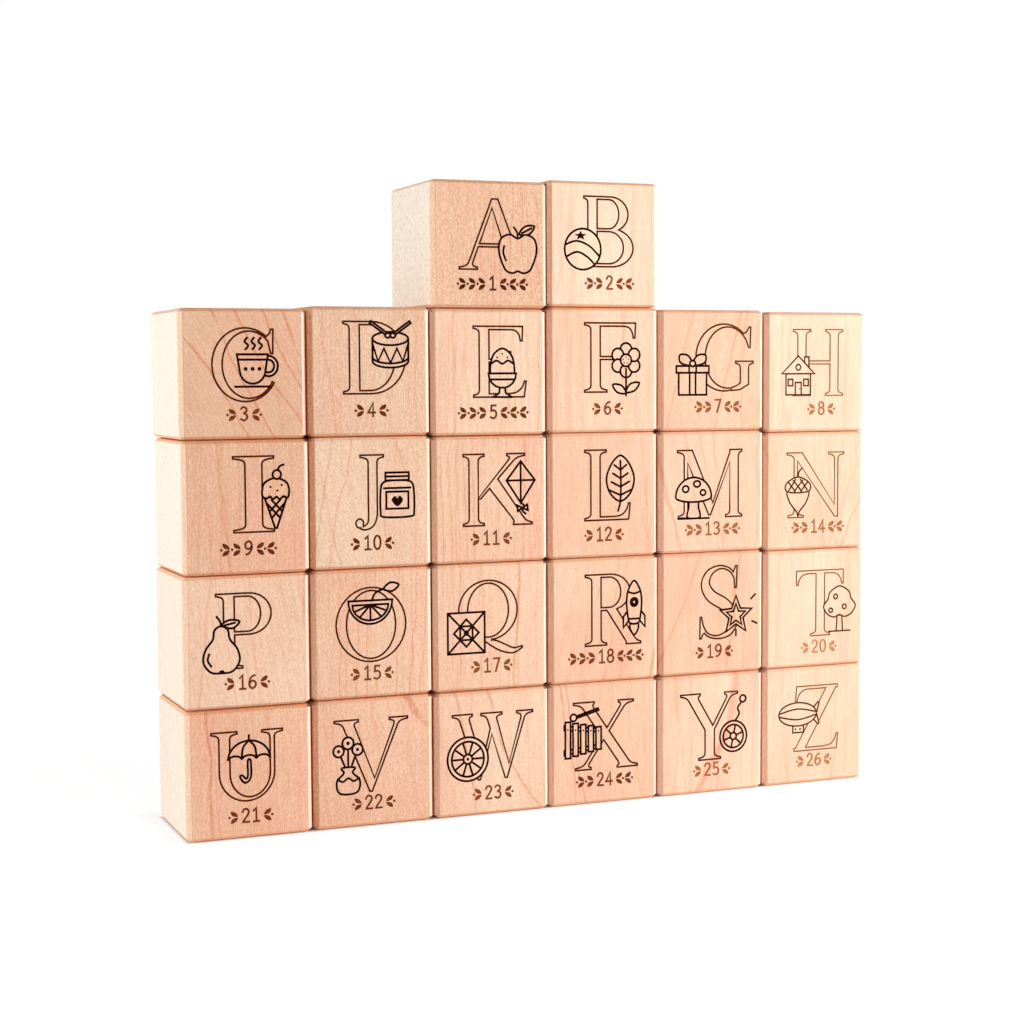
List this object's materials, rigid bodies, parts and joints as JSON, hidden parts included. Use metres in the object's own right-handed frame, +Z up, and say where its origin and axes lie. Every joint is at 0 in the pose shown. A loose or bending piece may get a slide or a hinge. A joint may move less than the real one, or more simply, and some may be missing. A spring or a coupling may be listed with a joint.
{
  "type": "alphabet block set",
  "caption": "Set of loose solid maple alphabet blocks with eased edges, stacked as a wall, one engraved capital letter on the front of each; every block lifts off.",
  "frame": {"origin": "under the middle of the wall, on the surface that it stands on", "axes": "+X along the wall to the right as the letters read, -Y out of the lettered faces, +Z up along the grain"},
  "size_m": [0.2696, 0.0448, 0.2291],
  "materials": {
    "maple": "sanded, unvarnished hard maple"
  },
  "bodies": {
    "block_a": {"block_a": "maple"},
    "block_b": {"block_b": "maple"},
    "block_c": {"block_c": "maple"},
    "block_d": {"block_d": "maple"},
    "block_e": {"block_e": "maple"},
    "block_f": {"block_f": "maple"},
    "block_g": {"block_g": "maple"},
    "block_h": {"block_h": "maple"},
    "block_i": {"block_i": "maple"},
    "block_j": {"block_j": "maple"},
    "block_k": {"block_k": "maple"},
    "block_l": {"block_l": "maple"},
    "block_m": {"block_m": "maple"},
    "block_n": {"block_n": "maple"},
    "block_o": {"block_o": "maple"},
    "block_p": {"block_p": "maple"},
    "block_q": {"block_q": "maple"},
    "block_r": {"block_r": "maple"},
    "block_s": {"block_s": "maple"},
    "block_t": {"block_t": "maple"},
    "block_u": {"block_u": "maple"},
    "block_v": {"block_v": "maple"},
    "block_w": {"block_w": "maple"},
    "block_x": {"block_x": "maple"},
    "block_y": {"block_y": "maple"},
    "block_z": {"block_z": "maple"}
  },
  "joints": [
    {"name": "lift_u", "type": "slide", "parent": "block_w", "child": "block_u", "axis": [0, 0, 1], "range_m": [0, 0.05]},
    {"name": "lift_p", "type": "slide", "parent": "block_u", "child": "block_p", "axis": [0, 0, 1], "range_m": [0, 0.05]},
    {"name": "lift_i", "type": "slide", "parent": "block_p", "child": "block_i", "axis": [0, 0, 1], "range_m": [0, 0.05]},
    {"name": "lift_c", "type": "slide", "parent": "block_i", "child": "block_c", "axis": [0, 0, 1], "range_m": [0, 0.05]},
    {"name": "lift_v", "type": "slide", "parent": "block_w", "child": "block_v", "axis": [0, 0, 1], "range_m": [0, 0.05]},
    {"name": "lift_o", "type": "slide", "parent": "block_v", "child": "block_o", "axis": [0, 0, 1], "range_m": [0, 0.05]},
    {"name": "lift_j", "type": "slide", "parent": "block_o", "child": "block_j", "axis": [0, 0, 1], "range_m": [0, 0.05]},
    {"name": "lift_d", "type": "slide", "parent": "block_j", "child": "block_d", "axis": [0, 0, 1], "range_m": [0, 0.05]},
    {"name": "lift_q", "type": "slide", "parent": "block_w", "child": "block_q", "axis": [0, 0, 1], "range_m": [0, 0.05]},
    {"name": "lift_k", "type": "slide", "parent": "block_q", "child": "block_k", "axis": [0, 0, 1], "range_m": [0, 0.05]},
    {"name": "lift_e", "type": "slide", "parent": "block_k", "child": "block_e", "axis": [0, 0, 1], "range_m": [0, 0.05]},
    {"name": "lift_a", "type": "slide", "parent": "block_e", "child": "block_a", "axis": [0, 0, 1], "range_m": [0, 0.05]},
    {"name": "lift_x", "type": "slide", "parent": "block_w", "child": "block_x", "axis": [0, 0, 1], "range_m": [0, 0.05]},
    {"name": "lift_r", "type": "slide", "parent": "block_x", "child": "block_r", "axis": [0, 0, 1], "range_m": [0, 0.05]},
    {"name": "lift_l", "type": "slide", "parent": "block_r", "child": "block_l", "axis": [0, 0, 1], "range_m": [0, 0.05]},
    {"name": "lift_f", "type": "slide", "parent": "block_l", "child": "block_f", "axis": [0, 0, 1], "range_m": [0, 0.05]},
    {"name": "lift_b", "type": "slide", "parent": "block_f", "child": "block_b", "axis": [0, 0, 1], "range_m": [0, 0.05]},
    {"name": "lift_y", "type": "slide", "parent": "block_w", "child": "block_y", "axis": [0, 0, 1], "range_m": [0, 0.05]},
    {"name": "lift_s", "type": "slide", "parent": "block_y", "child": "block_s", "axis": [0, 0, 1], "range_m": [0, 0.05]},
    {"name": "lift_m", "type": "slide", "parent": "block_s", "child": "block_m", "axis": [0, 0, 1], "range_m": [0, 0.05]},
    {"name": "lift_g", "type": "slide", "parent": "block_m", "child": "block_g", "axis": [0, 0, 1], "range_m": [0, 0.05]},
    {"name": "lift_z", "type": "slide", "parent": "block_w", "child": "block_z", "axis": [0, 0, 1], "range_m": [0, 0.05]},
    {"name": "lift_t", "type": "slide", "parent": "block_z", "child": "block_t", "axis": [0, 0, 1], "range_m": [0, 0.05]},
    {"name": "lift_n", "type": "slide", "parent": "block_t", "child": "block_n", "axis": [0, 0, 1], "range_m": [0, 0.05]},
    {"name": "lift_h", "type": "slide", "parent": "block_n", "child": "block_h", "axis": [0, 0, 1], "range_m": [0, 0.05]}
  ]
}
